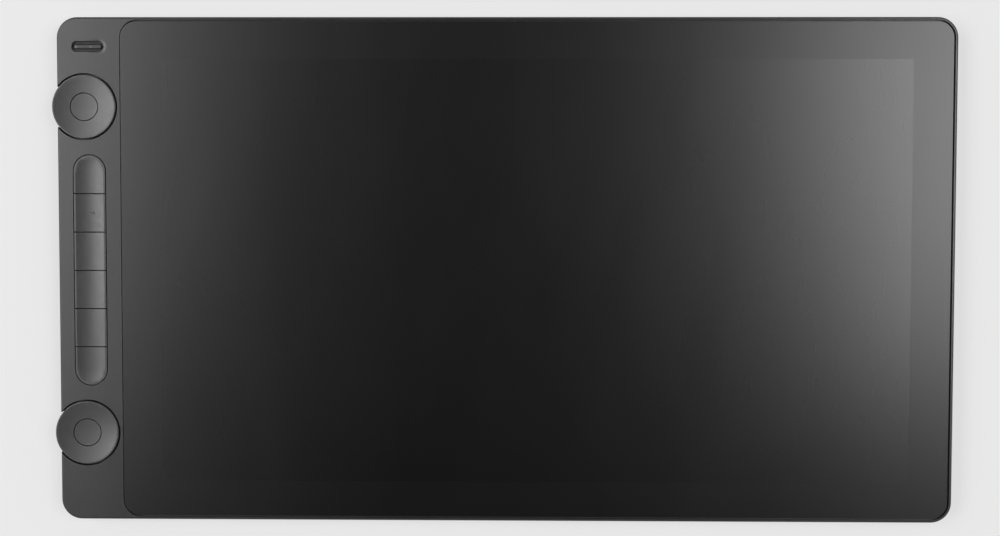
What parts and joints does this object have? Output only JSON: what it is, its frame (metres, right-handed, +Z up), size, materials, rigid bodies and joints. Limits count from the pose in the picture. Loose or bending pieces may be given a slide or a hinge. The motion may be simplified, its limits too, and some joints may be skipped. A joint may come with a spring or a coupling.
{
  "type": "pen display tablet",
  "caption": "Flat pen display: etched glass screen in a slim rounded housing with a control strip of pushable keys and turning dials at its left side.",
  "frame": {"origin": "middle of the footprint's bounding box on the desk plane, under the rubber feet", "axes": "+X from the control strip to the right side, +Y from the near edge to the far edge where the sockets are, +Z up out of the screen"},
  "size_m": [0.4178, 0.234, 0.0135],
  "materials": {
    "housing_plastic": "fine satin texture",
    "cover_plastic": "fine matte texture",
    "frame_metal": "cast, blackened",
    "key_plastic": "smooth satin",
    "dial_plastic": "smooth satin",
    "etched_glass": "etched anti-glare, black behind",
    "tape": "matte adhesive foam",
    "clear_bond": "clear",
    "panel_glass": "polished",
    "white_film": "pearl",
    "light_guide": "clear",
    "board": "solder mask",
    "chip": "moulded",
    "ribbon": "polyimide film",
    "steel": "plain",
    "blackened_steel": "black oxide",
    "foam": "soft foam",
    "rubber": "matte",
    "lens": "smoked"
  },
  "bodies": {
    "chassis": {"front_housing": "housing_plastic", "back_cover": "cover_plastic", "rubber_feet": "rubber", "rear_screws": "blackened_steel", "control_board_screws": "steel", "main_board_screws": "steel", "mid_frame": "frame_metal", "cover_glass": "etched_glass", "glass_tape": "tape", "optical_bond": "clear_bond", "display_panel": "panel_glass", "diffuser_films": "white_film", "light_guide": "light_guide", "reflector_film": "white_film", "light_strip": "board", "backlight_leds": "white_film", "backlight_tray": "steel", "panel_driver_board": "board", "panel_flexes": "ribbon", "digitizer_board": "board", "shield_plate": "steel", "foam_blocks": "foam", "control_board": "board", "main_board": "board", "main_board_chips": "chip", "panel_cable": "ribbon", "control_cable": "ribbon", "usb_shell_1": "steel", "usb_shell_2": "steel", "usb_tongue_1": "chip", "usb_tongue_2": "chip", "key_switches": "chip", "power_switch": "chip", "dial_switches": "chip", "key_frame": "cover_plastic", "upper_dial_encoder": "chip", "lower_dial_encoder": "chip"},
    "key_1": {"key_1": "key_plastic", "key_plunger_1": "chip"},
    "key_2": {"key_2": "key_plastic", "key_plunger_2": "chip"},
    "key_3": {"key_3": "key_plastic", "key_plunger_3": "chip"},
    "key_4": {"key_4": "key_plastic", "key_plunger_4": "chip"},
    "key_5": {"key_5": "key_plastic", "key_plunger_5": "chip"},
    "key_6": {"key_6": "key_plastic", "key_plunger_6": "chip"},
    "upper_dial": {"upper_dial": "dial_plastic", "upper_dial_rotor": "chip"},
    "upper_dial_button": {"upper_dial_button": "dial_plastic", "upper_dial_plunger": "chip"},
    "lower_dial": {"lower_dial": "dial_plastic", "lower_dial_rotor": "chip"},
    "lower_dial_button": {"lower_dial_button": "dial_plastic", "lower_dial_plunger": "chip"},
    "power_button": {"power_button": "key_plastic", "indicator_lenses": "lens", "power_plunger": "chip"}
  },
  "joints": [
    {"name": "key_1_push", "type": "slide", "parent": "chassis", "child": "key_1", "axis": [0, 0, -1], "range_m": [0, 0.0006], "stiffness_N_per_m": 400, "springref_m": -0.0015},
    {"name": "key_2_push", "type": "slide", "parent": "chassis", "child": "key_2", "axis": [0, 0, -1], "range_m": [0, 0.0006], "stiffness_N_per_m": 400, "springref_m": -0.0015},
    {"name": "key_3_push", "type": "slide", "parent": "chassis", "child": "key_3", "axis": [0, 0, -1], "range_m": [0, 0.0006], "stiffness_N_per_m": 400, "springref_m": -0.0015},
    {"name": "key_4_push", "type": "slide", "parent": "chassis", "child": "key_4", "axis": [0, 0, -1], "range_m": [0, 0.0006], "stiffness_N_per_m": 400, "springref_m": -0.0015},
    {"name": "key_5_push", "type": "slide", "parent": "chassis", "child": "key_5", "axis": [0, 0, -1], "range_m": [0, 0.0006], "stiffness_N_per_m": 400, "springref_m": -0.0015},
    {"name": "key_6_push", "type": "slide", "parent": "chassis", "child": "key_6", "axis": [0, 0, -1], "range_m": [0, 0.0006], "stiffness_N_per_m": 400, "springref_m": -0.0015},
    {"name": "upper_dial_turn", "type": "hinge", "parent": "chassis", "child": "upper_dial", "pos_m": [-0.19415, 0.07565, 0.013], "axis": [0, 0, 1], "continuous": true},
    {"name": "upper_dial_button_push", "type": "slide", "parent": "chassis", "child": "upper_dial_button", "axis": [0, 0, -1], "range_m": [0, 0.0004], "stiffness_N_per_m": 400, "springref_m": -0.0015},
    {"name": "lower_dial_turn", "type": "hinge", "parent": "chassis", "child": "lower_dial", "pos_m": [-0.19415, -0.07615, 0.013], "axis": [0, 0, 1], "continuous": true},
    {"name": "lower_dial_button_push", "type": "slide", "parent": "chassis", "child": "lower_dial_button", "axis": [0, 0, -1], "range_m": [0, 0.0004], "stiffness_N_per_m": 400, "springref_m": -0.0015},
    {"name": "power_button_push", "type": "slide", "parent": "chassis", "child": "power_button", "axis": [0, 0, -1], "range_m": [0, 0.0003], "stiffness_N_per_m": 400, "springref_m": -0.0015}
  ]
}
